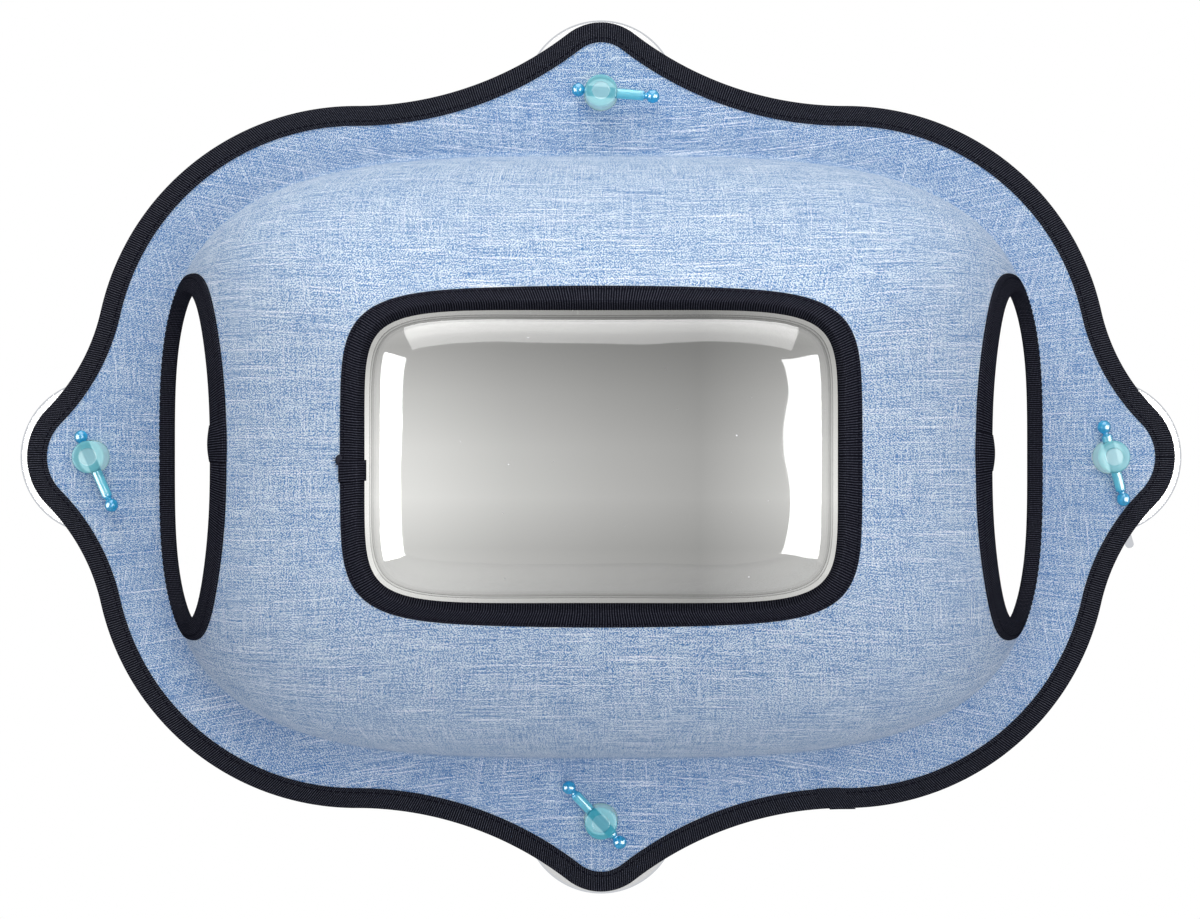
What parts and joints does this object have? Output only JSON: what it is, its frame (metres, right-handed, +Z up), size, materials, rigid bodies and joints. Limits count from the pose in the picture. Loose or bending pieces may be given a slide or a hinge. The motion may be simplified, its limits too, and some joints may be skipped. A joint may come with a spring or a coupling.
{
  "type": "window mounted cat perch",
  "caption": "Moulded fabric pod on a scalloped flange, held to a window by suction cups, with side entries and a clear bubble window.",
  "frame": {"origin": "middle of the four suction cups, on the plane of their lips, where the window glass lies", "axes": "+X the viewer's right from the room, +Z up, +Y away from the room towards the glass"},
  "size_m": [0.694, 0.232, 0.522],
  "materials": {
    "outer_fabric": "blue and white slub weave, matt",
    "foam": "closed cell moulded foam, matt",
    "lining": "plain woven lining, matt",
    "binding_tape": "ribbed tape, matt",
    "thread": "twisted sewing thread",
    "clear_window": "clear, lightly smoked, glossy",
    "cup_plastic": "translucent teal, soft, glossy",
    "pin_plastic": "translucent blue, glossy"
  },
  "bodies": {
    "shell": {"outer_fabric": "outer_fabric", "foam_core": "foam", "lining": "lining", "edge_binding": "binding_tape", "opening_binding_left": "binding_tape", "opening_binding_right": "binding_tape", "window_binding": "binding_tape", "window_bubble": "clear_window", "edge_seam": "thread", "opening_seam_left": "thread", "opening_seam_right": "thread", "window_seam": "thread"},
    "cup_top": {"suction_cup_top": "cup_plastic"},
    "pin_top": {"lock_pin_top": "pin_plastic"},
    "cup_right": {"suction_cup_right": "cup_plastic"},
    "pin_right": {"lock_pin_right": "pin_plastic"},
    "cup_bottom": {"suction_cup_bottom": "cup_plastic"},
    "pin_bottom": {"lock_pin_bottom": "pin_plastic"},
    "cup_left": {"suction_cup_left": "cup_plastic"},
    "pin_left": {"lock_pin_left": "pin_plastic"}
  },
  "joints": [
    {"name": "cup_top_swivel", "type": "hinge", "parent": "shell", "child": "cup_top", "pos_m": [0, 0, 0.215], "axis": [0, 1, 0], "continuous": true},
    {"name": "pin_top_slide", "type": "slide", "parent": "cup_top", "child": "pin_top", "axis": [0.9962, 0, -0.0872], "range_m": [-0.01814, 0.00095]},
    {"name": "cup_right_swivel", "type": "hinge", "parent": "shell", "child": "cup_right", "pos_m": [0.301, 0, 0], "axis": [0, 1, 0], "continuous": true},
    {"name": "pin_right_slide", "type": "slide", "parent": "cup_right", "child": "pin_right", "axis": [0.2588, 0, -0.9659], "range_m": [-0.01337, 0.00573]},
    {"name": "cup_bottom_swivel", "type": "hinge", "parent": "shell", "child": "cup_bottom", "pos_m": [0, 0, -0.215], "axis": [0, 1, 0], "continuous": true},
    {"name": "pin_bottom_slide", "type": "slide", "parent": "cup_bottom", "child": "pin_bottom", "axis": [0.682, 0, -0.7314], "range_m": [-0.00382, 0.01528]},
    {"name": "cup_left_swivel", "type": "hinge", "parent": "shell", "child": "cup_left", "pos_m": [-0.301, 0, 0], "axis": [0, 1, 0], "continuous": true},
    {"name": "pin_left_slide", "type": "slide", "parent": "cup_left", "child": "pin_left", "axis": [0.4067, 0, -0.9135], "range_m": [-0.01862, 0.00048]}
  ]
}
